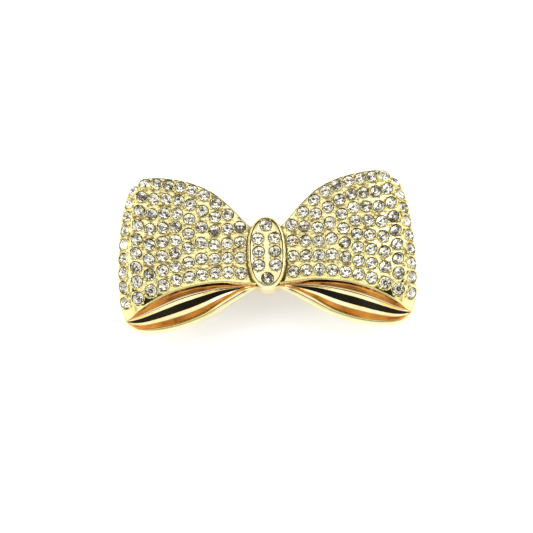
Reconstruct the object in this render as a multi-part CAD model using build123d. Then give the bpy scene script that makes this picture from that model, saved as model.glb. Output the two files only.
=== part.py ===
"""Rhinestone bow hair clip: a cast metal bow paved with round chatons on a French barrette.

Frame: the clip lies on its back, bow face up. +Z is the bow's face, +Y its top edge, +X its right
wing. The origin is the middle of the bounding box, on the surface that the clasp arm rests on.
All sizes are millimetres.
"""
from build123d import *
import math
import os

# ---- chatons: round, pointed-back stones ----
STONE_D = 2.5             # girdle diameter
STONE_TABLE_D = 1.3
STONE_CROWN = 0.55
STONE_GIRDLE = 0.12
STONE_PAVILION = 1.0
SEAT_CLEARANCE = 0.03
GIRDLE_PROUD = 0.04       # girdle's lower edge above the metal

# ---- bow casting: heights are counted from its back face ----
BOW_BACK_Z = 9.9          # the casting's back face above the rest surface
WING_ROOT_X = 1.0
RIBBON_BASE = 4.0         # thickness next to the knot
CREST_RISE = 3.0          # extra height of the crest near the outer edge
CREST_INSET = 2.4         # crest to outer edge
CREST_WIDTH = 0.3         # how softly the crest turns over
RISE_LENGTH = 6.0         # how quickly the ribbon climbs to the crest
OUTER_SLOPE = 1.04        # fall from the crest to the outer edge
LIP_HEIGHT = 1.9          # lower ribbon layer, below the scoop
SCOOP_FLOOR = 1.0
BACK_RECESS = 2.3
OUTER_X = 30.1
OUTER_MID_Y = -3.0        # the outer side is widest here
OUTER_FALL = (0.0006, 0.0008)     # how fast it falls away above and below, with the cube of the distance
FADE_BELOW = (-5.0, 0.02)         # the crest fades below this y, with the square of the distance
FADE_ABOVE = (9.0, 0.008)
BLANK_TOP = 12.0          # taller than any part of the casting
FRONT_GRID = (32, 29)     # points that carry the front surface, along x and y
FRONT_GRID_START = (0.0, -17.5)
FRONT_GRID_STEP = (1.0, 1.25)

TOP_EDGE = [(2.4, 4.4), (4.1, 6.0), (7.5, 9.9), (11, 13.0), (15, 14.9), (19, 15.8), (23, 16.0), (26.2, 15.5)]
SIDE_EDGE = [(28.0, 13.5), (29.3, 8.3), (30.1, 0), (30.15, -6), (29.8, -11), (28.6, -14.2)]
BOTTOM_EDGE = [(26.2, -15.75), (23, -15.95), (19, -15.35), (15, -14.15), (11, -12.4), (7, -10.05),
               (4.4, -8.5), (2.9, -7.9)]
SCOOP_RIM = [(3.9, -7.3), (9.5, -6.7), (14, -7.15), (18, -8.1), (22, -9.75), (26, -11.95), (28.1, -13.7)]
SCOOP_LIP = [(27, -15.2), (24.2, -15.5), (18.4, -14.6), (13.4, -12.75), (9, -9.95)]
SCOOP_LIP_END = (5.1, -7.7)
RIM_BEFORE = [(1.0, -7.5)]        # the rim's line, drawn out past both ends of the scoop
RIM_AFTER = [(29.2, -14.6), (31, -15.5)]
RECESS_UPPER = [(6.0, 6.0), (9.5, 9.6), (14, 12.6), (19, 13.9), (24, 13.6), (27.0, 9.0), (28.2, 1),
                (28.2, -6), (27.0, -10.6)]
RECESS_LOWER = [(27.0, -10.6), (22, -8.0), (18, -6.4), (14, -5.4), (9.5, -5.0), (6.0, -5.3)]

# ---- stone columns of one wing, from the knot outwards ----
COLUMN_COUNTS = (4, 5, 6, 6, 7, 8, 8, 8, 9, 9)
COLUMN_TOP_X = (5.3, 26.9)        # first and last column, at the top edge
COLUMN_BOTTOM_X = (5.35, 28.95)    # and at the scoop
COLUMN_BULGE = 0.5
COLUMN_LEAN = 2.2         # how late a column leans over to its top
OUTER_COLUMN_LIFT = 1.5   # the outermost column stops this much short of the corner
WALK = 0.02               # step of the search for a column's ends
TOP_MARGIN = 1.6
SIDE_MARGIN = 1.05
SCOOP_MARGIN = 1.9

# ---- knot ----
KNOT_W, KNOT_L = 7.8, 15.2
KNOT_FULLNESS = 2.4       # exponent of the oval: 2 is an ellipse, more is squarer
KNOT_Y = -1.4
KNOT_TOP = 6.8
KNOT_FOOT = 0.6
KNOT_TENON = (3.4, 8.0, 3.0)      # width, length and top of the casting's tenon in the knot
KNOT_ROW_PITCH = 2.85
KNOT_PAIR_X = 1.66
KNOT_PLATE_DEPTH = 0.35
KNOT_RIM = 0.5
KNOT_EDGE_R = 0.2

# ---- barrette ----
STRIP_W = 8.0
STRIP_T = 0.7
STRIP_HALF = 25.8
STRIP_Z = BOW_BACK_Z - STRIP_T
RIVET_X = 15.0
RIVET_R = 1.0
RIVET_HEAD_R = 1.9
RIVET_HEAD_T = 0.5
BOSS_R = 2.6
PIN_X, PIN_Z, PIN_R = -24.0, 2.0, 0.6
PIN_HALF = 4.5
PIN_RUN = 0.05            # radial running clearance of the pin in the arm
EAR_Y = (2.5, 3.1)
EAR_R = 1.5
ARM_W = 8.0
ARM_T = 0.6
ARM_DEPTH = 1.6           # channel depth at the feet
ARM_RISE = 0.9
ARM_END = 24.6
ARM_FOOT = 17.0           # the flat feet run from here to the end
ARM_WEB_START = -21.5
LUG_R = 1.6
EYE = (20.9, 23.5, 2.4)   # first and last x, half width
BAR_HALF = 20.8
BAR_END_Z = 8.7
BAR_SAG = 2.8
BAR_W = 5.0
BAR_T = 0.35
KEEPER_X = (19.7, 20.5)
KEEPER_Y = (2.7, 3.3)
KEEPER_DROP = 1.75
KEEPER_T = 0.4
CATCH_X = (21.2, 24.6)
CATCH_T = 0.45
CATCH_W = 6.0
LEG_Y = (1.7, 2.1)
LEG_X = (21.3, 23.1)
LEG_FOOT_Z = 0.5
LEG_PIVOT_Z = STRIP_Z - CATCH_T - 0.25
BARB_Y = 2.33
BARB_TOP = 1.1
TAB_Y = 5.2
TAB_Z = (3.4, 7.4)
TAB_X = (20.8, 25.4)


# ---- surface of the paved ribbon ----
def outer_edge_x(y):
    """x of the wing's outer side at height y."""
    fall = OUTER_FALL[0] if y > OUTER_MID_Y else OUTER_FALL[1]
    return OUTER_X - fall * abs(y - OUTER_MID_Y) ** 3


def front_height(x, y):
    """Thickness of the paved ribbon at (x, y): it climbs to a crest, then rolls over the outer edge."""
    past_crest = x - (outer_edge_x(y) - CREST_INSET)
    over = CREST_WIDTH * math.log1p(math.exp(min(past_crest / CREST_WIDTH, 40)))
    climb = math.exp((past_crest - over) / RISE_LENGTH)
    fade = 1 - FADE_BELOW[1] * max(0, FADE_BELOW[0] - y) ** 2 - FADE_ABOVE[1] * max(0, y - FADE_ABOVE[0]) ** 2
    return RIBBON_BASE + CREST_RISE * climb * fade - OUTER_SLOPE * over


def front_normal(x, y, step=0.05):
    slope_x = (front_height(x + step, y) - front_height(x - step, y)) / (2 * step)
    slope_y = (front_height(x, y + step) - front_height(x, y - step)) / (2 * step)
    return Vector(-slope_x, -slope_y, 1).normalized()


def curve_samples(points, count=160):
    edge = Edge.make_spline([Vector(*p) for p in points])
    return [edge.position_at(i / count) for i in range(count + 1)]


def inset_y(x, samples, margin, step):
    """Walk from y = 0 by step until the point at x comes within margin of the sampled edge."""
    y = 0
    while min(math.hypot(x - p.X, y - p.Y) for p in samples) > margin:
        y += step
    return y


# ---- bow casting ----
def face_of(*edges):
    return make_face(Wire(list(edges)))


def spline(points):
    return Edge.make_spline([Vector(*p) for p in points])


def wing_outline():
    """Plan of the whole wing, from the knot round its edge and back."""
    edge_points = TOP_EDGE + SIDE_EDGE + BOTTOM_EDGE
    top, bottom = edge_points[0], edge_points[-1]
    root = Polyline(bottom, (WING_ROOT_X, bottom[1]), (WING_ROOT_X, top[1]), top)
    return face_of(spline(edge_points), *root.edges())


def below_front():
    """Everything under the paved ribbon's front surface."""
    xs = [FRONT_GRID_START[0] + FRONT_GRID_STEP[0] * i for i in range(FRONT_GRID[0])]
    ys = [FRONT_GRID_START[1] + FRONT_GRID_STEP[1] * j for j in range(FRONT_GRID[1])]
    grid = [[Vector(x, y, front_height(x, y)) for y in ys] for x in xs]
    front = Face.make_surface_from_array_of_points(grid, tol=0.01, min_deg=3, max_deg=3)
    return Solid.extrude(front, Vector(0, 0, -20))


def scoop_plan():
    rim = spline(SCOOP_RIM)
    lip = spline([SCOOP_RIM[-1]] + SCOOP_LIP + [SCOOP_LIP_END])
    close = Edge.make_line(lip.position_at(1), rim.position_at(0))
    return face_of(rim, lip, close)


def below_rim_plan():
    """Plan of everything on the lower side of the scoop's rim."""
    rim = spline(RIM_BEFORE + SCOOP_RIM + RIM_AFTER)
    around = Polyline(rim.position_at(1), (34, -22), (0, -22), rim.position_at(0))
    return face_of(rim, *around.edges())


def recess_plan():
    """Plan of the hollow in the wing's back, a wall's width inside the ribbon."""
    upper = spline(RECESS_UPPER)
    lower = spline(RECESS_LOWER)
    close = Edge.make_line(lower.position_at(1), upper.position_at(0))
    return face_of(upper, lower, close)


def wing(stones):
    """Right wing, its back on z = 0, with a seat for every stone."""
    blank = extrude(wing_outline(), BLANK_TOP).solid()
    body = Part() + blank.intersect(below_front())[0]
    body -= Pos(0, 0, LIP_HEIGHT) * extrude(below_rim_plan(), BLANK_TOP)
    body -= Pos(0, 0, SCOOP_FLOOR) * extrude(scoop_plan(), BLANK_TOP)
    recess = extrude(recess_plan(), BACK_RECESS)
    recess -= Pos(RIVET_X, 0, 0) * extrude(Circle(BOSS_R), BACK_RECESS)
    body -= recess
    body -= Pos(RIVET_X, 0, 0) * extrude(Circle(RIVET_R), BACK_RECESS)
    return body - [(place * seat()).solid() for place in stones]


# ---- stones ----
def chaton_profile(radius, grow=0.0):
    """Half section of a pointed-back stone; z = 0 is the girdle's lower edge."""
    return [(0, -STONE_PAVILION - grow), (radius, 0), (radius, STONE_GIRDLE)]


def chaton():
    points = chaton_profile(STONE_D / 2)
    points += [(STONE_TABLE_D / 2, STONE_GIRDLE + STONE_CROWN), (0, STONE_GIRDLE + STONE_CROWN)]
    section = make_face(Polyline(*[(r, 0, z) for r, z in points], close=True))
    return revolve(section, Axis.Z)


def seat():
    points = chaton_profile(STONE_D / 2 + SEAT_CLEARANCE, grow=SEAT_CLEARANCE)
    points += [(STONE_D / 2 + SEAT_CLEARANCE, STONE_CROWN), (0, STONE_CROWN)]
    section = make_face(Polyline(*[(r, 0, z) for r, z in points], close=True))
    return revolve(section, Axis.Z)


def on_front(x, y):
    """Where a stone stands on the ribbon: on the surface, along its normal."""
    normal = front_normal(x, y)
    foot = Vector(x, y, front_height(x, y)) + normal * GIRDLE_PROUD
    return Plane(origin=foot, x_dir=(normal.Z, 0, -normal.X), z_dir=normal).location


def column_places(index, edge, rim):
    """Places of one column's stones, evenly spread between the top edge and the scoop."""
    along = index / (len(COLUMN_COUNTS) - 1)
    top_x = COLUMN_TOP_X[0] + (COLUMN_TOP_X[1] - COLUMN_TOP_X[0]) * along
    bottom_x = COLUMN_BOTTOM_X[0] + (COLUMN_BOTTOM_X[1] - COLUMN_BOTTOM_X[0]) * along
    margin = TOP_MARGIN if index < len(COLUMN_COUNTS) - 1 else SIDE_MARGIN
    top_y = inset_y(top_x, edge, margin, WALK)
    bottom_y = inset_y(bottom_x, rim, SCOOP_MARGIN, -WALK)
    if index == len(COLUMN_COUNTS) - 1:
        bottom_y += OUTER_COLUMN_LIFT
    count = COLUMN_COUNTS[index]
    places = []
    for row in range(count):
        t = row / (count - 1)
        bulge = 4 * COLUMN_BULGE * t * (1 - t) * along
        x = bottom_x + (top_x - bottom_x) * (1 - t) ** COLUMN_LEAN + bulge
        places.append(on_front(x, top_y + (bottom_y - top_y) * t))
    return places


# ---- knot ----
def knot_places():
    rows = [(0.0, 2)] + [(side * KNOT_PAIR_X, row) for row in (1, 0, -1) for side in (-1, 1)] + [(0.0, -2)]
    level = KNOT_TOP - KNOT_PLATE_DEPTH + GIRDLE_PROUD
    return [Pos(x, KNOT_Y + row * KNOT_ROW_PITCH, level) for x, row in rows]


def knot_oval(inset=0.0, count=32):
    """Full oval of the knot, a superellipse."""
    points = []
    for i in range(count):
        angle = 2 * math.pi * i / count
        x = math.copysign(abs(math.cos(angle)) ** (2 / KNOT_FULLNESS), math.cos(angle))
        y = math.copysign(abs(math.sin(angle)) ** (2 / KNOT_FULLNESS), math.sin(angle))
        points.append(Vector(x * (KNOT_W / 2 - inset), y * (KNOT_L / 2 - inset)))
    return face_of(Edge.make_spline(points, periodic=True))


def knot():
    """Oval wrap over the bow's middle, with a sunk plate that holds the stones."""
    body = Pos(0, KNOT_Y, KNOT_FOOT) * extrude(knot_oval(), KNOT_TOP - KNOT_FOOT)
    body = fillet(body.faces().sort_by(Axis.Z)[-1].edges(), KNOT_EDGE_R)
    plate = knot_oval(KNOT_RIM)
    body -= Pos(0, KNOT_Y, KNOT_TOP - KNOT_PLATE_DEPTH) * extrude(plate, 2)
    width, length, top = KNOT_TENON
    body -= Pos(0, KNOT_Y, 0) * Box(width, length, top, align=(Align.CENTER, Align.CENTER, Align.MIN))
    return body - [place * seat() for place in knot_places()]


def bow_casting(right_wing):
    """Both wings, the waist that joins them and the tenon that the knot is soldered over."""
    width, length, top = KNOT_TENON
    tenon = Pos(0, KNOT_Y, 0) * Box(width, length, top, align=(Align.CENTER, Align.CENTER, Align.MIN))
    waist_length = TOP_EDGE[0][1] - BOTTOM_EDGE[-1][1]
    waist = Pos(0, BOTTOM_EDGE[-1][1], 0) * Box(
        2 * WING_ROOT_X, waist_length, KNOT_FOOT, align=(Align.CENTER, Align.MIN, Align.MIN))
    wings = right_wing - Pos(0, KNOT_Y, KNOT_FOOT) * extrude(knot_oval(), BLANK_TOP)
    return wings + mirror(wings, Plane.YZ) + waist + tenon


# ---- barrette ----
def strip():
    """Flat base strip with rivet holes, hinge ears and the two keepers of the tension bar."""
    plate = extrude(SlotOverall(2 * STRIP_HALF, STRIP_W), STRIP_T)
    plate = Pos(0, 0, STRIP_Z) * plate
    for side in (-1, 1):
        plate -= Pos(side * RIVET_X, 0, STRIP_Z) * extrude(Circle(RIVET_R), STRIP_T)
        plate += keeper(side)
        plate += ear(side)
    return plate


def ear(side):
    """One hinge ear: a flat lug round the pin, hanging from the strip."""
    side_view = Pos(PIN_X, PIN_Z) * Circle(EAR_R)
    side_view += Pos(PIN_X, (PIN_Z + STRIP_Z) / 2) * Rectangle(2 * EAR_R, STRIP_Z - PIN_Z)
    side_view -= Pos(PIN_X, PIN_Z) * Circle(PIN_R)
    lug = extrude(Plane.XZ * side_view, EAR_Y[1] - EAR_Y[0])
    return Pos(0, side * (EAR_Y[0] + EAR_Y[1]) / 2 + (EAR_Y[1] - EAR_Y[0]) / 2, 0) * lug


def keeper(side):
    """Lanced loop that holds one end of the tension bar under the strip."""
    x = side * (KEEPER_X[0] + KEEPER_X[1]) / 2
    along = KEEPER_X[1] - KEEPER_X[0]
    loop = Pos(x, 0, STRIP_Z - KEEPER_DROP / 2) * Box(along, 2 * KEEPER_Y[1], KEEPER_DROP)
    hole_height = KEEPER_DROP - KEEPER_T
    return loop - Pos(x, 0, STRIP_Z - hole_height / 2) * Box(along, 2 * KEEPER_Y[0], hole_height)


def clasp_arm():
    """Arched channel, open downwards, with two flat feet, hinge lugs and the eye for the catch."""
    web_top = Edge.make_three_point_arc((-ARM_END, ARM_DEPTH), (0, ARM_DEPTH + ARM_RISE), (ARM_END, ARM_DEPTH))
    web_low = web_top.moved(Location((0, -ARM_T, 0)))
    sides = [Edge.make_line(web_top.position_at(i), web_low.position_at(i)) for i in (0, 1)]
    web = extrude(Plane.XZ * face_of(web_top, sides[1], web_low, sides[0]), ARM_W / 2, both=True)
    web -= Pos((ARM_WEB_START - 30) / 2, 0, 0) * Box(30 + ARM_WEB_START, ARM_W, 12)

    foot_arc = Edge.make_three_point_arc((ARM_FOOT, 0), (0, ARM_RISE), (-ARM_FOOT, 0))
    ends = Polyline((-ARM_FOOT, 0), (-ARM_END, 0), (-ARM_END, ARM_DEPTH))
    right = Polyline((ARM_END, ARM_DEPTH), (ARM_END, 0), (ARM_FOOT, 0))
    flange_view = face_of(web_top, *right.edges(), foot_arc, *ends.edges())
    flange_view = Sketch() + flange_view + Pos(PIN_X, PIN_Z) * Circle(LUG_R)
    flange_view -= Pos(PIN_X, PIN_Z) * Circle(PIN_R + PIN_RUN)
    flange = extrude(Plane.XZ * flange_view, ARM_T)
    arm = web + Pos(0, ARM_W / 2, 0) * flange + Pos(0, ARM_T - ARM_W / 2, 0) * flange
    eye_x = (EYE[0] + EYE[1]) / 2
    return arm - Pos(eye_x, 0, 0) * Box(EYE[1] - EYE[0], 2 * EYE[2], 12)


def tension_bar():
    """Leaf spring that bows down from the strip towards the arm."""
    top = Edge.make_three_point_arc((-BAR_HALF, BAR_END_Z), (0, BAR_END_Z - BAR_SAG), (BAR_HALF, BAR_END_Z))
    low = top.moved(Location((0, -BAR_T, 0)))
    sides = [Edge.make_line(top.position_at(i), low.position_at(i)) for i in (0, 1)]
    return extrude(Plane.XZ * face_of(top, sides[1], low, sides[0]), BAR_W / 2, both=True)


def catch_plate():
    """Small plate under the strip's end that the two catch legs spring from."""
    x = (CATCH_X[0] + CATCH_X[1]) / 2
    return Pos(x, 0, STRIP_Z - CATCH_T / 2) * Box(CATCH_X[1] - CATCH_X[0], CATCH_W, CATCH_T)


def catch_leg(side):
    """Spring leg with an outward barb at its foot and a finger tab beside the strip."""
    middle = (LEG_Y[0] + LEG_Y[1]) / 2
    half = (LEG_Y[1] - LEG_Y[0]) / 2
    view = Pos(middle, (LEG_FOOT_Z + LEG_PIVOT_Z) / 2) * Rectangle(2 * half, LEG_PIVOT_Z - LEG_FOOT_Z)
    view += Pos(middle, LEG_PIVOT_Z) * Circle(half)
    barb = Polyline((LEG_Y[1], LEG_FOOT_Z), (BARB_Y, BARB_TOP), (LEG_Y[1], BARB_TOP), close=True)
    view += make_face(barb)
    leg = extrude(Plane.YZ * view, LEG_X[1] - LEG_X[0])
    leg = Pos(LEG_X[0], 0, 0) * leg
    thick = 2 * half
    bridge = Pos((LEG_X[0] + LEG_X[1]) / 2, (LEG_Y[0] + TAB_Y) / 2, TAB_Z[1] - half) * Box(
        LEG_X[1] - LEG_X[0], TAB_Y - LEG_Y[0], thick)
    tab = Pos((TAB_X[0] + TAB_X[1]) / 2, TAB_Y - half, (TAB_Z[0] + TAB_Z[1]) / 2) * Box(
        TAB_X[1] - TAB_X[0], thick, TAB_Z[1] - TAB_Z[0])
    leg = leg + bridge + tab
    return leg if side > 0 else mirror(leg, Plane.XZ)


def hinge_pin():
    pin = Plane.XZ * (Pos(PIN_X, PIN_Z) * Circle(PIN_R))
    return extrude(pin, PIN_HALF, both=True)


def rivet(side):
    head = Pos(side * RIVET_X, 0, STRIP_Z - RIVET_HEAD_T) * extrude(Circle(RIVET_HEAD_R), RIVET_HEAD_T)
    head = fillet(head.edges().sort_by(Axis.Z)[0], RIVET_HEAD_T * 0.6)
    shank = Pos(side * RIVET_X, 0, STRIP_Z) * extrude(Circle(RIVET_R), STRIP_T + BACK_RECESS)
    return head + shank


# ---- write one STEP file per node ----
def save(shape, name):
    solids = shape.solids() if hasattr(shape, "solids") else shape
    export_step(solids[0] if len(solids) == 1 else Compound(list(solids)), f"parts/{name}.step")


def main():
    os.makedirs("parts", exist_ok=True)
    edge = curve_samples(TOP_EDGE + SIDE_EDGE + BOTTOM_EDGE)
    rim = curve_samples(SCOOP_RIM)
    columns = [column_places(i, edge, rim) for i in range(len(COLUMN_COUNTS))]
    all_places = [place for column in columns for place in column]
    lift = Pos(0, 0, BOW_BACK_Z)

    save(lift * bow_casting(wing(all_places)), "bow_casting")
    for number, places in enumerate(columns, start=1):
        right = Compound([(lift * place * chaton()).solid() for place in places])
        save(right, f"right_wing_stones_{number:02d}")
        save(mirror(right, Plane.YZ), f"left_wing_stones_{number:02d}")
    save(lift * knot(), "knot_casting")
    save(Compound([(lift * place * chaton()).solid() for place in knot_places()]), "knot_stones")

    save(strip(), "base_strip")
    save(hinge_pin(), "hinge_pin")
    save(clasp_arm(), "clasp_arm")
    save(tension_bar(), "tension_bar")
    save(catch_plate(), "catch_plate")
    save(catch_leg(1), "catch_leg_back")
    save(catch_leg(-1), "catch_leg_front")
    save(Compound([rivet(side).solid() for side in (-1, 1)]), "base_rivets")


main()
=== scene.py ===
"""Rhinestone bow hair clip: polished gilt casting, faceted stones and a French barrette.

Lengths in this script are millimetres in the clip's own frame (see part.py); MM turns them into
Blender's metres when a mesh is made. Heights of the bow are counted from the casting's back face.
"""
import math
import random

import bmesh
import bpy
import numpy as np
from mathutils import Matrix, Vector
from mathutils.geometry import tessellate_polygon


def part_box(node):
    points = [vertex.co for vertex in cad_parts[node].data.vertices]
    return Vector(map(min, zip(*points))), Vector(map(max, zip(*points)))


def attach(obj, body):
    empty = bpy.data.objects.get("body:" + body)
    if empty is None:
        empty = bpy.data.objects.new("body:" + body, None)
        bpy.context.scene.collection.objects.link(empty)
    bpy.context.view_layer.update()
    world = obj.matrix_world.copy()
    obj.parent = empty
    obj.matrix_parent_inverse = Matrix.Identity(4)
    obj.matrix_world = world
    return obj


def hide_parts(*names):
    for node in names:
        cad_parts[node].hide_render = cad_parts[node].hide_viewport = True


MM = 0.001
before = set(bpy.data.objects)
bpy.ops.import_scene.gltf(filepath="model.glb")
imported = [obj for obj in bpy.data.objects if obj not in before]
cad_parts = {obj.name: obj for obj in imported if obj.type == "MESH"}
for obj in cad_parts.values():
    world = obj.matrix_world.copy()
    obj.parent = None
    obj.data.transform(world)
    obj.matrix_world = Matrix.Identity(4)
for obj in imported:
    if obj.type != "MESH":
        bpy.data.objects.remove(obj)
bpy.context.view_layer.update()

BOW_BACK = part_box("bow_casting")[0][2] / MM

# ---- bow casting ----
RIBBON_BASE = 4.0                 # height of the ribbon far inside the crest
CREST_RISE = 3.0
CREST_INSET = 2.4                 # from the outer edge
CREST_WIDTH = 0.3
RISE_LENGTH = 6.0
OUTER_SLOPE = 1.04                # fall of the roll over the outer edge
OUTER_X = 30.1                    # where the outer edge bulges most
OUTER_MID_Y = -3.0
OUTER_FALL = (0.0006, 0.0008)     # how fast the edge draws in above and below that point
FADE_BELOW = (-5.0, 0.02)         # where the crest begins to sink, and how fast
FADE_ABOVE = (9.0, 0.008)
LIP_HEIGHT = 1.9
KNOT_CLIMB = 4.5                  # how far the lower band climbs in the middle
KNOT_CLIMB_X = 2.6
BACK_RECESS = 2.3
RIVET_X = 15.0
BOSS_R = 2.6
BOSS_SIDES = 48

TOP_EDGE = [(2.4, 4.4), (4.1, 6.0), (7.5, 9.9), (11, 13.0), (15, 14.9), (19, 15.8), (23, 16.0), (26.2, 15.5),
            (27.4, 14.7)]
SIDE_EDGE = [(27.4, 14.7), (28.0, 13.5), (29.3, 8.3), (30.1, 0), (30.15, -6), (29.8, -11), (29.0, -13.6)]
BOTTOM_EDGE = [(0, -9.08), (0.8, -9.0), (1.5, -8.74), (2.2, -8.26), (2.9, -8.0), (3.6, -8.12), (4.4, -8.5),
               (7, -10.05), (11, -12.4), (15, -14.15), (19, -15.35), (23, -15.95), (26.4, -15.7),
               (28.5, -14.5)]
SCOOP_RIM = [(2.4, -7.4), (5, -7.1), (9.5, -6.7), (14, -7.15), (18, -8.1), (22, -9.75), (26, -11.95),
             (29.0, -13.6)]
SCOOP_LIP = [(2.4, -7.55), (4.4, -7.65), (5.6, -8.0), (9, -9.95), (13.4, -12.75), (18.4, -14.6),
             (24.2, -15.5), (27, -15.15), (28.6, -14.1)]
CHIN_LIP = [(0, -8.75), (0.8, -8.68), (1.5, -8.42), (2.1, -7.95), (2.9, -7.5)]
RECESS = [(6.0, 6.0), (9.5, 9.6), (14, 12.6), (19, 13.9), (24, 13.6), (27.0, 9.0), (28.2, 1), (28.2, -6),
          (27.0, -10.6), (22, -8.0), (18, -6.4), (14, -5.4), (9.5, -5.0), (6.0, -5.3), (6.0, 6.0)]

RIBBON_U, RIBBON_V = 176, 150     # mesh steps along and across the paved ribbon
WALL_V, FLOOR_V = 16, 72          # mesh steps down the scoop's wall and across its floor
BAND_U, LIP_V = 130, 14           # mesh steps along half the lower band and over its lip
TOP_ROWS = 2                      # ribbon rows painted dark as the shade under the top edge
PLAIN_ROWS = 12                   # ribbon rows of bright bare metal above the scoop
AMBER_SHADE_ROWS = 20                      # scoop rows, wall first, painted deep amber as the shade on the wall under the rim
WALL_SWEEP = math.radians(80)
WALL_SHARE = 0.08                 # of the scoop's width
# floor of the scoop from wall to lip: share of the width, and how many degrees it faces the lip
PLEATS = [(0.0, 62), (0.07, 38), (0.13, 0), (0.21, -2), (0.27, 17), (0.34, 20), (0.48, 17), (0.55, -3),
          (0.66, -4), (0.72, -22), (0.88, -26), (1.0, -50)]
PLEAT_WANDER = ((0.024, 5, 0.8), (0.004, 23, 0))    # amplitude, waves and start along the scoop
EDGE_ROUND = 0.35
TRIM_STEP = 2                     # mesh steps of the ribbon per step of the wire along its edge
RIM_WIRE_R, SIDE_WIRE_R = 0.2, 0.24

# ---- stones ----
STONE_R = 1.15
TABLE_SHARE = 0.54                # of the stone's radius
TABLE_Z, GIRDLE_Z = 0.52, 0.10
MID_SHARE, MID_Z = 0.45, -0.66    # the ring where the pavilion's facets meet
PAVILION = 1.06
STONE_SINK = 1.0                  # the CAD stone's point below its girdle
STONE_LEAN = 0.045                # how unevenly the stones sit
SEAT_R = 1.33
SEAT_DEPTH = 1.1
SEAT_STEP = 0.25                  # sharp drop just inside the seat's edge
SEAT_SIDES = 32
CUP_PROFILE = [(1.15, -0.42), (1.22, -0.36), (1.265, -0.10), (1.285, 0.08), (1.33, 0.13), (1.38, 0.11),
               (1.42, 0.02), (1.46, -0.16), (1.44, -0.80)]
CUP_SIDES = 28
CUP_INNER = 1.2
CUP_ROOM = (1.24, 0.07)           # how near the next stone's axis a ring gives way, and over how far
CUP_DARK = 3                      # profile steps painted dark as the shade in the gap round the stone
BEAD_R = 0.26
BEAD_REACH = 1.44                 # bead centre from the stone's axis
BEAD_CLEAR = 0.08                 # least gap between a bead's centre and a stone
BEAD_MERGE = 0.42
DOME_SWEEP = math.pi * 0.62
DOME_RINGS, DOME_SIDES = 4, 8

# ---- knot ----
KNOT_HALF_W, KNOT_HALF_L = 3.9, 7.6
KNOT_FULLNESS = 2.4
KNOT_Y = -1.4
KNOT_TOP = 6.8
KNOT_PLATE = 6.45
KNOT_SIDES = 96
KNOT_VALLEY = 0.32                # width of the painted shade round the knot
# inset from the knot's outline and height, from the back face up over the border to the plate
KNOT_PROFILE = [(0.9, 0.0), (0.6, 0.4), (0.35, 1.2), (0.30, 4.6), (0.12, 5.5), (0.02, 6.1),
                (0.05, KNOT_TOP - 0.35), (0.19, KNOT_TOP - 0.12), (0.31, KNOT_TOP), (0.43, KNOT_TOP - 0.02),
                (0.52, KNOT_TOP - 0.13), (0.58, KNOT_TOP - 0.36), (0.60, KNOT_PLATE - 0.35),
                (0.67, KNOT_PLATE - 0.35), (0.70, KNOT_PLATE - 0.04), (0.76, KNOT_PLATE)]
KNOT_GROOVE = (10, 11, 12)        # profile steps inside the groove, painted dark as shade
SPINE_HALF_L, SPINE_R = 4.1, 0.2
KNOT_BEAD = (0.918, 1.0404)       # bead centres from each stone's axis
KNOT_BEAD_R = 0.17
SEAT_HOLE_DEPTH, PIT_DEPTH = 1.4, 0.7
PITS = ((-0.75, 1), (0.75, -1), (-2.62, -1), (2.62, 1))    # place and way the arrow's back faces
PITS_AT_ENDS = ((-1.95, -1), (1.95, 1))
TUCK, TUCK_X = 0.6, 5.0           # how far the chin draws in towards the back, and its half width


# ---------------------------------------------------------------- curves and surfaces
def smooth_curve(points, count):
    """count points evenly spaced along a smooth curve through the given ones."""
    pts = [np.array(p, float) for p in points]
    pts = [2 * pts[0] - pts[1]] + pts + [2 * pts[-1] - pts[-2]]
    dense = []
    for a, b, c, d in zip(pts, pts[1:], pts[2:], pts[3:]):
        for k in range(24):
            t = k / 24
            dense.append(0.5 * (2 * b + (c - a) * t + (2 * a - 5 * b + 4 * c - d) * t * t
                                + (3 * b - a - 3 * c + d) * t ** 3))
    dense.append(pts[-2])
    dense = np.array(dense)
    run = np.concatenate([[0], np.cumsum(np.linalg.norm(np.diff(dense, axis=0), axis=1))])
    want = np.linspace(0, run[-1], count)
    return np.stack([np.interp(want, run, dense[:, k]) for k in range(dense.shape[1])], axis=1)


def outer_edge_x(y):
    fall = np.where(y > OUTER_MID_Y, *OUTER_FALL)
    return OUTER_X - fall * np.abs(y - OUTER_MID_Y) ** 3


def front_height(x, y):
    """Height of the paved ribbon: it climbs to a crest, then rolls over the outer edge."""
    past_crest = x - (outer_edge_x(y) - CREST_INSET)
    over = CREST_WIDTH * np.log1p(np.exp(np.minimum(past_crest / CREST_WIDTH, 40)))
    climb = np.exp((past_crest - over) / RISE_LENGTH)
    low_y, low_rate = FADE_BELOW
    high_y, high_rate = FADE_ABOVE
    fade = 1 - low_rate * np.maximum(0, low_y - y) ** 2 - high_rate * np.maximum(0, y - high_y) ** 2
    return RIBBON_BASE + CREST_RISE * climb * fade - OUTER_SLOPE * over


def coons_patch(top, bottom, left, right):
    """Grid [u][v] of points between four boundary curves that share their corners."""
    u = np.linspace(0, 1, len(top))[:, None, None]
    v = np.linspace(0, 1, len(left))[None, :, None]
    ruled = (1 - v) * top[:, None] + v * bottom[:, None] + (1 - u) * left[None] + u * right[None]
    corners = ((1 - u) * (1 - v) * top[0] + u * (1 - v) * top[-1]
               + (1 - u) * v * bottom[0] + u * v * bottom[-1])
    return ruled - corners


def rounded_drop(distance, radius):
    """How far a surface falls near an edge that is rounded with this radius."""
    inside = np.clip((radius - distance) / radius, 0, 1)
    return radius * (1 - np.sqrt(1 - 0.97 * inside ** 2))


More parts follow.
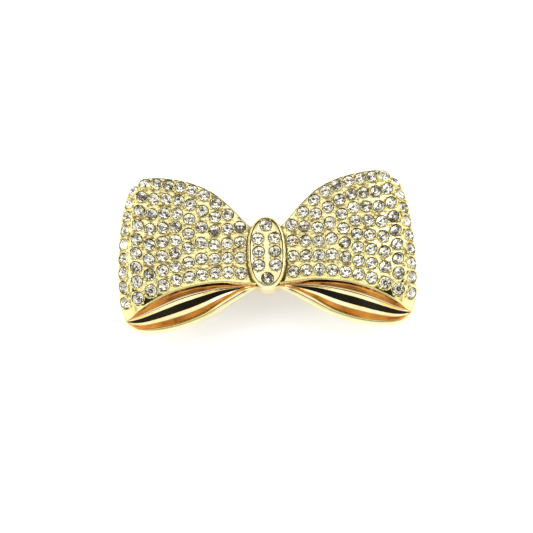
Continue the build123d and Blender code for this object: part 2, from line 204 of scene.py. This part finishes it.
# ---------------------------------------------------------------- mesh helpers
class Builder:
    """Collects vertices and faces in millimetres, each face with a material index."""

    def __init__(self):
        self.verts = []
        self.faces = []
        self.slots = []

    def add(self, verts, faces, slot=0):
        base = len(self.verts)
        self.verts.extend(tuple(v) for v in verts)
        self.faces.extend(tuple(base + i for i in f) for f in faces)
        self.slots.extend([slot] * len(faces))
        return base

    def grid(self, points, slot=0, closed=False):
        """A sheet of quads over points[i][j]; closed joins the last row to the first."""
        rows, cols = len(points), len(points[0])
        faces = []
        for i in range(rows if closed else rows - 1):
            for j in range(cols - 1):
                a, b = i * cols + j, ((i + 1) % rows) * cols + j
                faces.append((a, b, b + 1, a + 1))
        return self.add([p for row in points for p in row], faces, slot)

    def cap(self, loop, slot=0):
        self.add(loop, [tuple(range(len(loop)))], slot)

    def flat(self, outer, *holes, slot):
        """Flat triangulated face inside the outer loop and outside the holes."""
        loops = [[Vector(p) for p in loop] for loop in (outer, *holes)]
        self.add([p for loop in loops for p in loop], tessellate_polygon(loops), slot)

    def build(self, name, materials, slot, smooth, merge=0.002):
        """Piece of the bow body; smooth is the angle in degrees up to which edges are shaded smooth."""
        mesh = bpy.data.meshes.new(name)
        mesh.from_pydata([tuple(c * MM for c in v) for v in self.verts], [], self.faces)
        for material in materials:
            mesh.materials.append(material)
        mesh.polygons.foreach_set("material_index", self.slots)
        mesh.validate()
        obj = bpy.data.objects.new(name, mesh)
        bpy.context.scene.collection.objects.link(obj)
        bm = bmesh.new()
        bm.from_mesh(mesh)
        if merge:
            bmesh.ops.remove_doubles(bm, verts=bm.verts, dist=merge * MM)
        bmesh.ops.recalc_face_normals(bm, faces=bm.faces)
        bm.to_mesh(mesh)
        bm.free()
        shade(mesh, smooth)
        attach(obj, "bow")
        return obj


def shade(mesh, angle):
    if angle:
        mesh.shade_smooth()
        mesh.set_sharp_from_angle(angle=math.radians(angle))
    else:
        mesh.shade_flat()


def tube(builder, path, radius, sides=10):
    """Round wire along a path of points."""
    path = np.array(path, float)
    ahead = np.roll(path, -1, axis=0) - np.roll(path, 1, axis=0)
    ahead[0], ahead[-1] = path[1] - path[0], path[-1] - path[-2]
    rings = []
    for point, along in zip(path, ahead):
        along = along / np.linalg.norm(along)
        side = np.cross(along, (0, 0, 1))
        side /= np.linalg.norm(side)
        up = np.cross(side, along)
        rings.append([point + radius * (math.cos(a) * side + math.sin(a) * up)
                      for a in (2 * math.pi * k / sides for k in range(sides + 1))])
    builder.grid(rings)


# ---------------------------------------------------------------- materials
def principled(name, color, metallic=0.0, roughness=0.4):
    material = bpy.data.materials.new(name)
    material.use_nodes = True
    shader = material.node_tree.nodes["Principled BSDF"]
    shader.inputs["Base Color"].default_value = (*color, 1)
    shader.inputs["Metallic"].default_value = metallic
    shader.inputs["Roughness"].default_value = roughness
    return material, material.node_tree, shader


def noise(tree, scale, detail):
    node = tree.nodes.new("ShaderNodeTexNoise")
    node.inputs["Scale"].default_value = scale
    node.inputs["Detail"].default_value = detail
    coordinates = tree.nodes.new("ShaderNodeTexCoord").outputs["Object"]
    tree.links.new(coordinates, node.inputs["Vector"])
    return node.outputs["Fac"]


def ramp(tree, value, stops):
    node = tree.nodes.new("ShaderNodeValToRGB")
    elements = node.color_ramp.elements
    while len(elements) < len(stops):
        elements.new(0.5)
    for element, (position, color) in zip(elements, stops):
        element.position = position
        element.color = (*color, 1)
    tree.links.new(value, node.inputs["Fac"])
    return node.outputs["Color"]


def bump(tree, shader, height, strength, distance):
    node = tree.nodes.new("ShaderNodeBump")
    node.inputs["Strength"].default_value = strength
    node.inputs["Distance"].default_value = distance
    tree.links.new(height, node.inputs["Height"])
    tree.links.new(node.outputs["Normal"], shader.inputs["Normal"])


def gilt(name, light, dark, roughness=(0.06, 0.16), ripple=0.05, grain=260, edge=(0.32, 0.62)):
    """Polished gold plate: slight colour drift, soft ripple of the casting and fine handling marks."""
    material, tree, shader = principled(name, light, metallic=1.0)
    drift = noise(tree, grain, 4)
    tree.links.new(ramp(tree, drift, [(edge[0], dark), (edge[1], light)]), shader.inputs["Base Color"])
    marks = noise(tree, 2600, 6)
    low, high = roughness
    tree.links.new(ramp(tree, marks, [(0.35, (low,) * 3), (0.75, (high,) * 3)]), shader.inputs["Roughness"])
    bump(tree, shader, noise(tree, 520, 2), ripple, 0.0004)
    return material


def crystal():
    """Clear pressed glass with a faint warm cast that differs from stone to stone."""
    material, tree, shader = principled("crystal", (1.0, 1.0, 1.0), roughness=0.0)
    shader.inputs["Transmission Weight"].default_value = 1.0
    shader.inputs["IOR"].default_value = 1.56
    cast = noise(tree, 420, 2)
    tree.links.new(ramp(tree, cast, [(0.35, (1.0, 0.94, 0.80)), (0.62, (1.0, 0.98, 0.91))]),
                   shader.inputs["Base Color"])
    tree.links.new(ramp(tree, noise(tree, 3000, 4), [(0.45, (0.0,) * 3), (0.8, (0.06,) * 3)]),
                   shader.inputs["Roughness"])
    bump(tree, shader, noise(tree, 900, 3), 0.02, 0.0002)
    return material


def foil():
    """Silver foil fired on the back of a stone, a little uneven."""
    material, tree, shader = principled("foil_backing", (0.9, 0.88, 0.82), metallic=1.0)
    specks = ramp(tree, noise(tree, 1000, 4), [(0.385, (0.14, 0.12, 0.08)), (0.44, (0.96, 0.95, 0.89))])
    tree.links.new(specks, shader.inputs["Base Color"])
    tree.links.new(ramp(tree, noise(tree, 2400, 4), [(0.3, (0.02,) * 3), (0.8, (0.10,) * 3)]),
                   shader.inputs["Roughness"])
    bump(tree, shader, noise(tree, 1400, 3), 0.05, 0.0002)
    return material


GOLD = gilt("gilt_casting", (0.90, 0.82, 0.40), (0.78, 0.67, 0.27))
GOLD_BED = gilt("gilt_bed", (0.90, 0.82, 0.44), (0.22, 0.16, 0.06), roughness=(0.10, 0.24), ripple=0.15,
                grain=950, edge=(0.38, 0.55))
# Paler, creamier copy of the casting's gold for the knot and lower band, painted toward the cream of their
# bright highlights.
GOLD_HIGHLIGHT_PALE = gilt("gilt_border_highlight_pale", (0.87, 0.78, 0.46), (0.81, 0.70, 0.35))
GOLD_SCOOP = gilt("gilt_scoop", (0.96, 0.84, 0.52), (0.90, 0.71, 0.33), roughness=(0.04, 0.09), ripple=0.11)
# Deep amber gold painted on the scoop's wall under the rim, as its shade.
GOLD_AMBER_SHADE = gilt("gilt_amber_painted_shade", (0.72, 0.34, 0.09), (0.30, 0.11, 0.03), roughness=(0.05, 0.12))
# Near-black gold that paints shade: under the top edge, round the knot, in the gaps round the stones, in the
# knot's groove, seat holes and pits.
GOLD_PAINTED_SHADE = gilt("gilt_painted_shade", (0.13, 0.10, 0.04), (0.05, 0.035, 0.015), roughness=(0.14, 0.30))
GILT_STEEL = gilt("gilt_steel", (0.66, 0.52, 0.27), (0.52, 0.39, 0.19), roughness=(0.16, 0.32), ripple=0.02)
SPRING = gilt("spring_steel", (0.44, 0.41, 0.36), (0.33, 0.30, 0.26), roughness=(0.18, 0.36), ripple=0.02)
WING_GOLDS = [GOLD_BED, GOLD_SCOOP, GOLD_AMBER_SHADE, GOLD_PAINTED_SHADE, GOLD]
BED, SCOOP, AMBER_SHADE, PAINTED_SHADE, PLAIN = range(len(WING_GOLDS))
CRYSTAL = crystal()
FOIL = foil()


# ---------------------------------------------------------------- stones
def stone_places(node):
    """Centre (at the girdle) and axis of every stone in a CAD node, read from its mesh."""
    mesh = bpy.data.objects[node].data
    points = np.array([v.co[:] for v in mesh.vertices]) / MM
    group = list(range(len(points)))

    def root(i):
        while group[i] != i:
            group[i] = group[group[i]]
            i = group[i]
        return i

    seen = {}
    for i, p in enumerate(np.round(points, 3)):
        group[root(i)] = root(seen.setdefault(tuple(p), i))
    for edge in mesh.edges:
        group[root(edge.vertices[0])] = root(edge.vertices[1])
    islands = {}
    for i in range(len(points)):
        islands.setdefault(root(i), []).append(i)
    places = []
    for members in islands.values():
        cloud = points[members]
        centre = (cloud.max(axis=0) + cloud.min(axis=0)) / 2
        _, axes = np.linalg.eigh(np.cov((cloud - cloud.mean(axis=0)).T))
        axis = axes[:, 0]
        reach = (cloud - cloud.mean(axis=0)) @ axis
        if abs(reach.max()) > abs(reach.min()):
            axis = -axis
            reach = -reach
        tip = cloud[np.argmin(reach)]
        places.append((tip + axis * STONE_SINK, axis))
    places.sort(key=lambda place: -place[0][1])
    return places


def chaton(builder, centre, axis, turn):
    """Round pointed-back stone: octagonal table, 24 crown facets, girdle and foiled pavilion."""
    side = np.cross(axis, (0.3, 1, 0.1))
    side /= np.linalg.norm(side)
    other = np.cross(axis, side)

    def at(r, z, step):
        a = turn + step * math.pi / 8
        return centre + r * (math.cos(a) * side + math.sin(a) * other) + z * axis

    table = [at(TABLE_SHARE * STONE_R, TABLE_Z, 2 * k) for k in range(8)]
    upper = [at(STONE_R, GIRDLE_Z, k) for k in range(16)]
    lower = [at(STONE_R, 0.0, k) for k in range(16)]
    mid = [at(MID_SHARE * STONE_R, MID_Z, 2 * k) for k in range(8)]
    culet = [centre - PAVILION * axis]
    verts = table + upper + lower + mid + culet
    T, U, L, M, C = 0, 8, 24, 40, 48    # where each ring starts in verts
    crown = [tuple(range(8))]
    back = []
    for k in range(8):
        n = (k + 1) % 8
        crown += [(T + k, U + 2 * k + 1, T + n), (T + k, U + 2 * k, U + 2 * k + 1),
                  (T + n, U + 2 * k + 1, U + 2 * n)]
        back += [(M + k, L + 2 * k, L + 2 * k + 1), (M + k, L + 2 * k + 1, M + n),
                 (M + n, L + 2 * k + 1, L + 2 * n), (C, M + k, M + n)]
    girdle = [(U + k, L + k, L + (k + 1) % 16, U + (k + 1) % 16) for k in range(16)]
    base = builder.add(verts, crown + girdle, 0)
    builder.faces.extend(tuple(base + i for i in f) for f in back)
    builder.slots.extend([1] * len(back))


def make_stones(node, places, chance):
    builder = Builder()
    for centre, axis in places:
        lean = np.array([chance.gauss(0, STONE_LEAN), chance.gauss(0, STONE_LEAN), 0])
        tilted = (axis + lean) / np.linalg.norm(axis + lean)
        chaton(builder, centre, tilted, chance.uniform(0, math.pi / 4))
    obj = builder.build(node + "_cut", [CRYSTAL, FOIL], "stone", smooth=0, merge=0)
    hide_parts(node)


# ---------------------------------------------------------------- bow wings
def ribbon_points():
    """Grid of the paved front of the right wing, with its edges rounded over."""
    top = smooth_curve(TOP_EDGE, RIBBON_U + 1)
    rim = smooth_curve(SCOOP_RIM, RIBBON_U + 1)
    side = smooth_curve(SIDE_EDGE, RIBBON_V + 1)
    root = np.linspace(top[0], rim[0], RIBBON_V + 1)
    plan = coons_patch(top, rim, root, side)
    height = front_height(plan[..., 0], plan[..., 1])
    to_top = np.linalg.norm(plan - plan[:, :1], axis=2)
    to_side = np.linalg.norm(plan - plan[-1:], axis=2)
    height = height - rounded_drop(to_top, EDGE_ROUND) - rounded_drop(to_side, EDGE_ROUND)
    return np.concatenate([plan, height[..., None]], axis=2)


def press_seats(points, places):
    """Sink a cone under every stone; points and places both count heights from the back face."""
    flat = points.reshape(-1, 3)
    for centre, axis in places:
        offset = flat - centre
        along = offset @ axis
        radius = np.linalg.norm(offset - along[:, None] * axis, axis=1)
        near = (radius < SEAT_R) & (np.abs(along) < 2)
        inside = SEAT_R - radius[near]
        sink = inside * SEAT_DEPTH / SEAT_R + np.minimum(SEAT_STEP, 2 * inside)
        flat[near] -= sink[:, None] * axis
    return flat.reshape(points.shape)


def lip_crest(x):
    """Height of the lower band: low along the wings, climbing to the knot's border in the middle."""
    return LIP_HEIGHT + KNOT_CLIMB * np.exp(-(np.abs(x) / KNOT_CLIMB_X) ** KNOT_FULLNESS)


def scoop_points(rim):
    """Grid from the scoop's rim down its wall and over its pleated floor to the lower band."""
    lip = smooth_curve(SCOOP_LIP, RIBBON_U + 1)
    steps = np.linspace(0, 1, FLOOR_V + 1)
    rows = []
    for i in range(RIBBON_U + 1):
        start, plan_end = rim[i], lip[i]
        across = plan_end - start[:2]
        gap = np.linalg.norm(across)
        wander = sum(size * math.sin(waves * i / RIBBON_U + first) for size, waves, first in PLEAT_WANDER)
        floor = lip_crest(plan_end[0]) + gap * pleat_heights(steps, wander)
        row = []
        for k in range(1, WALL_V + 1):
            a = WALL_SWEEP * k / WALL_V
            share = WALL_SHARE * (1 - math.cos(a)) / (1 - math.cos(WALL_SWEEP))
            z = start[2] - (start[2] - floor[0]) * math.sin(a) / math.sin(WALL_SWEEP)
            row.append((*(start[:2] + share * across), z))
        for t, z in zip(steps[1:], floor[1:]):
            row.append((*(start[:2] + (WALL_SHARE + (1 - WALL_SHARE) * t) * across), z))
        rows.append(row)
    return np.array(rows)


def pleat_heights(steps, wander):
    """Height of the scoop's floor over its end at the lip, for a scoop one unit wide."""
    places, tilts = zip(*PLEATS)
    fine = np.linspace(0, 1, 8 * FLOOR_V + 1)
    shifted = fine + wander * np.sin(math.pi * fine)
    slope = np.tan(np.radians(np.interp(shifted, places, tilts)))
    fall = np.concatenate([[0], np.cumsum((slope[1:] + slope[:-1]) / 2) / (8 * FLOOR_V)])
    return np.interp(steps, fine, (fall[-1] - fall) * (1 - WALL_SHARE))


def loop_indices(cols, rows):
    """Indices round the border of a grid with cols x rows points, starting along its first row."""
    top = [i * rows for i in range(cols)]
    outer = [(cols - 1) * rows + j for j in range(1, rows)]
    bottom = [i * rows + rows - 1 for i in range(cols - 2, -1, -1)]
    root = [j for j in range(rows - 2, 0, -1)]
    return top + outer + bottom + root


def beside_knot(x, y):
    """True in the narrow valley where a wing dives under the knot, the band painted dark as shade."""
    reach = (abs(x) / (KNOT_HALF_W + KNOT_VALLEY)) ** KNOT_FULLNESS
    reach += (abs(y - KNOT_Y) / (KNOT_HALF_L + KNOT_VALLEY)) ** KNOT_FULLNESS
    return reach < 1


def wing_builder(side, places):
    """One wing, side 1 or -1, as a closed shell; also the right wing's front grid, for the trim."""
    ribbon = ribbon_points()
    scoop = scoop_points(ribbon[:, -1])
    local = [(c * (side, 1, 1) - (0, 0, BOW_BACK), a * (side, 1, 1)) for c, a in places]
    front = np.concatenate([press_seats(ribbon, local), scoop], axis=1)
    cols, rows = front.shape[:2]
    builder = Builder()
    builder.grid(front * (side, 1, 1) + (0, 0, BOW_BACK))
    for index in range(len(builder.slots)):
        along, across = divmod(index, rows - 1)
        x, y = front[along, across][:2]
        if across >= RIBBON_V:
            # The scoop's first rows, down its wall, are painted amber as shade.
            builder.slots[index] = AMBER_SHADE if across < RIBBON_V + AMBER_SHADE_ROWS else SCOOP
        # Rows under the top edge and beside the knot are painted dark as shade.
        elif across < TOP_ROWS or beside_knot(x, y):
            builder.slots[index] = PAINTED_SHADE
        elif across >= RIBBON_V - PLAIN_ROWS:
            builder.slots[index] = PLAIN
        else:
            builder.slots[index] = BED

    def outline(points, height):
        return [(x * side, y, BOW_BACK + height) for x, y in points]

    border = front.reshape(-1, 3)[loop_indices(cols, rows)]
    walls = [[(x * side, y, z * share + BOW_BACK) for share in (1, 0.65, 0.3, 0)] for x, y, z in border]
    builder.grid(walls, PLAIN, closed=True)
    recess = smooth_curve(RECESS, 120)[:-1]
    boss = [(RIVET_X + BOSS_R * math.cos(a), BOSS_R * math.sin(a))
            for a in (2 * math.pi * k / BOSS_SIDES for k in range(BOSS_SIDES))]
    edge = border[:, :2]
    builder.flat(outline(edge, 0), outline(recess, 0), slot=PLAIN)
    builder.grid(list(zip(outline(recess, 0), outline(recess, BACK_RECESS))), PLAIN, closed=True)
    builder.flat(outline(recess, BACK_RECESS), outline(boss, BACK_RECESS), slot=PLAIN)
    builder.grid(list(zip(outline(boss, BACK_RECESS), outline(boss, 0))), PLAIN, closed=True)
    builder.cap(outline(boss, 0), PLAIN)
    return builder, front


def cups(builder, places):
    """Thin raised ring round every stone, pressed down where a neighbouring stone takes its room."""
    centres = np.array([c for c, _ in places])
    clear, fade = CUP_ROOM
    for centre, axis in places:
        side = np.cross(axis, (0.2, 1, 0.1))
        side /= np.linalg.norm(side)
        other = np.cross(axis, side)
        rows = []
        for step in range(CUP_SIDES):
            a = 2 * math.pi * step / CUP_SIDES
            out = math.cos(a) * side + math.sin(a) * other
            row = []
            for r, z in CUP_PROFILE:
                neighbour = np.sort(np.linalg.norm(centres - (centre + r * out), axis=1))[1]
                room = min(1.0, max(0.0, (neighbour - clear) / fade))
                reach = CUP_INNER + (r - CUP_INNER) * room
                row.append(centre + reach * out + (z - (1 - room) * max(0, z + 0.2)) * axis)
            rows.append(row)
        first = len(builder.slots)
        builder.grid(rows, 0, closed=True)
        # Steps next to the stone are painted dark as the shade in the gap round it.
        for index in range(first, len(builder.slots)):
            if (index - first) % (len(CUP_PROFILE) - 1) < CUP_DARK:
                builder.slots[index] = 1


def beads(builder, places):
    """Small cast beads between the stones, merged where two would share a gap."""
    spots = []
    for centre, axis in places:
        side = np.cross(axis, (0, 1, 0.0))
        side /= np.linalg.norm(side)
        other = np.cross(axis, side)
        for quarter in range(4):
            a = math.pi / 4 + quarter * math.pi / 2
            spots.append((centre + BEAD_REACH * (math.cos(a) * side + math.sin(a) * other), axis))
    merged = []
    for spot, axis in spots:
        clear = min(np.linalg.norm(spot - c) for c, _ in places)
        if clear < STONE_R + BEAD_CLEAR:
            continue
        for entry in merged:
            if np.linalg.norm(entry[0] / entry[2] - spot) < BEAD_MERGE:
                entry[0] += spot
                entry[1] += axis
                entry[2] += 1
                break
        else:
            merged.append([spot.copy(), axis.copy(), 1])
    for total, axis, count in merged:
        up = axis / np.linalg.norm(axis)
        dome(builder, total / count + 0.05 * up, up, BEAD_R)


def dome(builder, centre, axis, radius):
    """Bead that sinks into what it sits on."""
    side = np.cross(axis, (0.2, 1, 0.1))
    side /= np.linalg.norm(side)
    other = np.cross(axis, side)
    rows = []
    for k in range(DOME_RINGS + 1):
        a = DOME_SWEEP * k / DOME_RINGS
        r, z = radius * math.sin(a), radius * math.cos(a)
        rows.append([centre + z * axis + r * (math.cos(b) * side + math.sin(b) * other)
                     for b in (2 * math.pi * j / DOME_SIDES for j in range(DOME_SIDES + 1))])
    builder.grid(rows, 0)


def make_band():
    """Smooth lower band: the lip of one scoop, the chin under the knot and the other lip, in one sweep."""
    half_in = smooth_curve(CHIN_LIP + SCOOP_LIP[1:], BAND_U)
    half_out = smooth_curve(BOTTOM_EDGE, BAND_U)
    builder = Builder()
    rows = []
    for side in (-1, 1):
        order = range(BAND_U - 1, -1, -1) if side < 0 else range(1, BAND_U)
        for i in order:
            start, end = half_in[i], half_out[i]
            crest = lip_crest(start[0]) - 0.15
            shoulder = max(0.9, crest - 1.4)
            row = [(start[0], start[1] + 0.25, crest - 0.7), (start[0], start[1] + 0.08, crest - 0.2)]
            for k in range(LIP_V + 1):
                a = math.pi / 2 * k / LIP_V
                plan = start + (end - start) * math.sin(a)
                row.append((*plan, shoulder + (crest - shoulder) * math.cos(a) + 0.12 * math.sin(2 * a)))
            for share in (0.7, 0.45, 0.2, 0.0):
                z = shoulder * share
                tuck = TUCK * max(0.0, 1 - z / 2.0) ** 1.3 * math.exp(-(end[0] / TUCK_X) ** 2)
                row.append((end[0], end[1] + tuck, z))
            row.append((start[0], start[1] + 0.25, 0.0))
            row.append(row[0])
            rows.append([(x * side, y, z + BOW_BACK) for x, y, z in row])
    builder.grid(rows, 0)
    for tip in (rows[0], rows[-1]):
        builder.cap(tip[:-1])
    band = builder.build("lower_band", [GOLD_HIGHLIGHT_PALE], "gilt_casting", smooth=60)
    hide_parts("bow_casting")


# ---------------------------------------------------------------- knot
def oval(inset):
    points = []
    for i in range(KNOT_SIDES):
        a = 2 * math.pi * i / KNOT_SIDES
        x = math.copysign(abs(math.cos(a)) ** (2 / KNOT_FULLNESS), math.cos(a))
        y = math.copysign(abs(math.sin(a)) ** (2 / KNOT_FULLNESS), math.sin(a))
        points.append((x * (KNOT_HALF_W - inset), KNOT_Y + y * (KNOT_HALF_L - inset)))
    return points


def make_knot(places):
    """Oval wrap with a rounded border, a thin groove and a plate that holds the stones."""
    builder = Builder()
    rings = [[(x, y, z + BOW_BACK) for x, y in oval(inset)] for inset, z in KNOT_PROFILE]
    builder.grid(list(zip(*rings)), 0, closed=True)
    # The groove's steps are painted dark as shade.
    for index in range(len(builder.slots)):
        if index % (len(KNOT_PROFILE) - 1) in KNOT_GROOVE:
            builder.slots[index] = 1
    builder.cap(rings[0])
    plate_z = KNOT_PLATE + BOW_BACK
    turns = [2 * math.pi * k / SEAT_SIDES for k in range(SEAT_SIDES)]
    seats = [[(c[0] + SEAT_R * math.cos(a), c[1] + SEAT_R * math.sin(a), plate_z) for a in turns]
             for c, _ in places]
    pits = [[(x, y, plate_z) for x, y in pit] for pit in knot_pits(places)]
    builder.flat(rings[-1], *seats, *pits, slot=0)
    # Seat holes and pits are painted dark as the shade inside them.
    for holes, depth in ((seats, SEAT_HOLE_DEPTH), (pits, PIT_DEPTH)):
        for loop in holes:
            floor = [(x, y, z - depth) for x, y, z in loop]
            builder.grid(list(zip(loop, floor)), 1, closed=True)
            builder.cap(floor, 1)
    spine = [(0.0, y, plate_z + 0.02) for y in np.linspace(KNOT_Y - SPINE_HALF_L, KNOT_Y + SPINE_HALF_L, 24)]
    tube(builder, spine, SPINE_R, sides=12)
    upright = np.array([0, 0, 1.0])
    for end in (spine[0], spine[-1]):
        dome(builder, np.array(end), upright, SPINE_R + 0.01)
    wrap = builder.build("knot_wrap", [GOLD_HIGHLIGHT_PALE, GOLD_PAINTED_SHADE], "gilt_casting", smooth=35)
    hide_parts("knot_casting")
    trim = Builder()
    cups(trim, [(c + (0, 0, 0.02), a) for c, a in places])
    across, along = KNOT_BEAD
    for centre, _ in places:
        for dx, dy in ((-across, along), (across, along), (-across, -along), (across, -along)):
            spot = centre + (dx, dy, 0.1)
            if abs(spot[0]) < KNOT_HALF_W - 0.95:
                dome(trim, spot, upright, KNOT_BEAD_R)
    seat_rings = trim.build("knot_seats", [GOLD_HIGHLIGHT_PALE, GOLD_PAINTED_SHADE], "gilt_casting", smooth=50)
    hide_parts("knot_casting")


def knot_pits(places):
    """Small arrow-shaped pits in the plate, beside the gaps between stones."""
    pits = []
    rows = sorted({round(float(c[1]), 2) for c, _ in places})
    for low, high in zip(rows, rows[1:]):
        y = (low + high) / 2
        at_end = low == rows[0] or high == rows[-1]
        for x, way in PITS_AT_ENDS if at_end else PITS:
            pits.append([(x - 0.22 * way, y), (x + 0.26 * way, y + 0.24), (x + 0.12 * way, y),
                         (x + 0.26 * way, y - 0.24)])
    return pits


# ---------------------------------------------------------------- assemble
chance = random.Random(7)         # the same turns and leans on every run
all_places = {}
for node in sorted(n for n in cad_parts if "stones" in n):
    all_places[node] = stone_places(node)
    make_stones(node, all_places[node], chance)

for side, word in ((-1, "left"), (1, "right")):
    places = [p for n, ps in all_places.items() if n.startswith(word) for p in ps]
    builder, front = wing_builder(side, places)
    wing = builder.build(f"{word}_wing", WING_GOLDS, "gilt_casting", smooth=50)
    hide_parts("bow_casting")
    trim = Builder()
    cups(trim, places)
    beads(trim, places)
    rim_line = front[:, RIBBON_V] * (side, 1, 1) + (0, 0.04, BOW_BACK - 0.06)
    tube(trim, rim_line[::TRIM_STEP], RIM_WIRE_R)
    side_line = front[-1, :RIBBON_V + 1] * (side, 1, 1) + (-0.14 * side, 0, BOW_BACK - 0.05)
    tube(trim, side_line[::TRIM_STEP], SIDE_WIRE_R)
    trim_obj = trim.build(f"{word}_wing_beads", [GOLD, GOLD_PAINTED_SHADE], "gilt_casting", smooth=60)
    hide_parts("bow_casting")

make_band()
make_knot(all_places["knot_stones"])

for node, material in (("base_strip", GILT_STEEL), ("base_rivets", GILT_STEEL), ("hinge_pin", GILT_STEEL),
                       ("clasp_arm", GILT_STEEL), ("tension_bar", SPRING), ("catch_plate", SPRING),
                       ("catch_leg_back", SPRING), ("catch_leg_front", SPRING)):
    for material_slot in bpy.data.objects[node].material_slots:
        material_slot.material = material


# ---------------------------------------------------------------- camera, floor, light
TILT = math.radians(19)           # from straight above towards the chin
ROLL = math.radians(2)
DISTANCE = 0.45                   # metres, like the rest of this part
FRAME_WIDTH = 0.1083
SENSOR = 36
AIM_X, AIM_Y, AIM_Z = -0.14, -2.34, 4.5    # millimetres; where the camera looks, AIM_Z over the back face


def make_camera():
    camera = bpy.data.objects.new("camera", bpy.data.cameras.new("camera"))
    bpy.context.scene.collection.objects.link(camera)
    camera.data.sensor_width = SENSOR
    camera.data.lens = SENSOR * DISTANCE / FRAME_WIDTH
    camera.data.clip_start = 0.01
    aim = Vector((AIM_X, AIM_Y - AIM_Z * math.tan(TILT), BOW_BACK + AIM_Z)) * MM
    level_up = Vector((0, math.cos(TILT), math.sin(TILT)))
    right = Vector((1, 0, 0)) * math.cos(ROLL) - level_up * math.sin(ROLL)
    up = Vector((1, 0, 0)) * math.sin(ROLL) + level_up * math.cos(ROLL)
    back = right.cross(up)
    spot = aim + back * DISTANCE
    camera.matrix_world = Matrix(((right.x, up.x, back.x, spot.x), (right.y, up.y, back.y, spot.y),
                                  (right.z, up.z, back.z, spot.z), (0, 0, 0, 1)))
    bpy.context.scene.camera = camera


def make_floor():
    bpy.ops.mesh.primitive_plane_add(size=4, location=(0, 0, 0))
    floor = bpy.context.object
    floor.name = "floor"
    material, tree, shader = principled("floor_paper", (0.93, 0.93, 0.93), roughness=0.8)
    shader.inputs["Emission Color"].default_value = (1, 1, 1, 1)
    shader.inputs["Emission Strength"].default_value = 0.3
    tree.links.new(ramp(tree, noise(tree, 60, 5), [(0.3, (0.91,) * 3), (0.7, (0.95,) * 3)]),
                   shader.inputs["Base Color"])
    bump(tree, shader, noise(tree, 1800, 5), 0.03, 0.0003)
    floor.data.materials.append(material)


def area(name, location, size, power):
    """Soft rectangular light that faces the clip."""
    light = bpy.data.lights.new(name, "AREA")
    light.shape = "RECTANGLE"
    light.size, light.size_y = size
    light.energy = power
    obj = bpy.data.objects.new(name, light)
    bpy.context.scene.collection.objects.link(obj)
    obj.location = location
    obj.rotation_euler = (Vector((0, 0, 0.01)) - Vector(location)).to_track_quat("-Z", "Y").to_euler()


def make_world():
    """Studio light by direction: bright overhead, in front and at the sides; dark at the viewer."""
    world = bpy.data.worlds.new("studio")
    bpy.context.scene.world = world
    world.use_nodes = True
    tree = world.node_tree
    background = tree.nodes["Background"]
    direction = tree.nodes.new("ShaderNodeTexCoord").outputs["Generated"]
    split = tree.nodes.new("ShaderNodeSeparateXYZ")
    tree.links.new(direction, split.inputs[0])
    overhead = ramp(tree, split.outputs["Z"], [(0.0, (0.5,) * 3), (0.35, (0.5,) * 3), (0.62, (0.95,) * 3),
                                               (1.0, (1.0,) * 3)])
    behind = ramp(tree, split.outputs["Y"], [(0.0, (0.9,) * 3), (0.42, (1.0,) * 3), (0.72, (0.05,) * 3),
                                             (1.0, (0.03,) * 3)])
    outward = tree.nodes.new("ShaderNodeMath")
    outward.operation = "ABSOLUTE"
    tree.links.new(split.outputs["X"], outward.inputs[0])
    sideways = ramp(tree, outward.outputs[0],
                    [(0.0, (0.0,) * 3), (0.4, (0.05,) * 3), (0.65, (1.0,) * 3), (1.0, (1.0,) * 3)])
    toward = tree.nodes.new("ShaderNodeVectorMath")
    toward.operation = "DOT_PRODUCT"
    tree.links.new(direction, toward.inputs[0])
    toward.inputs[1].default_value = (0, -math.sin(TILT), math.cos(TILT))
    card = ramp(tree, toward.outputs["Value"], [(0.0, (1.0,) * 3), (0.925, (1.0,) * 3), (0.94, (0.03,) * 3),
                                                (1.0, (0.01,) * 3)])
    low = mix(tree, "MULTIPLY", overhead, behind)
    sky = mix(tree, "LIGHTEN", low, sideways)
    tree.links.new(mix(tree, "MULTIPLY", sky, card), background.inputs["Color"])
    background.inputs["Strength"].default_value = 1.3


def mix(tree, blend, first, second):
    node = tree.nodes.new("ShaderNodeMix")
    node.data_type = "RGBA"
    node.blend_type = blend
    node.inputs["Factor"].default_value = 1
    tree.links.new(first, node.inputs["A"])
    tree.links.new(second, node.inputs["B"])
    return node.outputs["Result"]


make_camera()
make_floor()
make_world()
area("key", (-0.32, 0.10, 0.42), (0.36, 0.36), 0.7)
area("fill", (0.42, 0.05, 0.30), (0.30, 0.40), 0.45)
area("rim", (0.0, 0.50, 0.30), (0.60, 0.22), 0.7)
bpy.context.scene.view_settings.view_transform = "Standard"
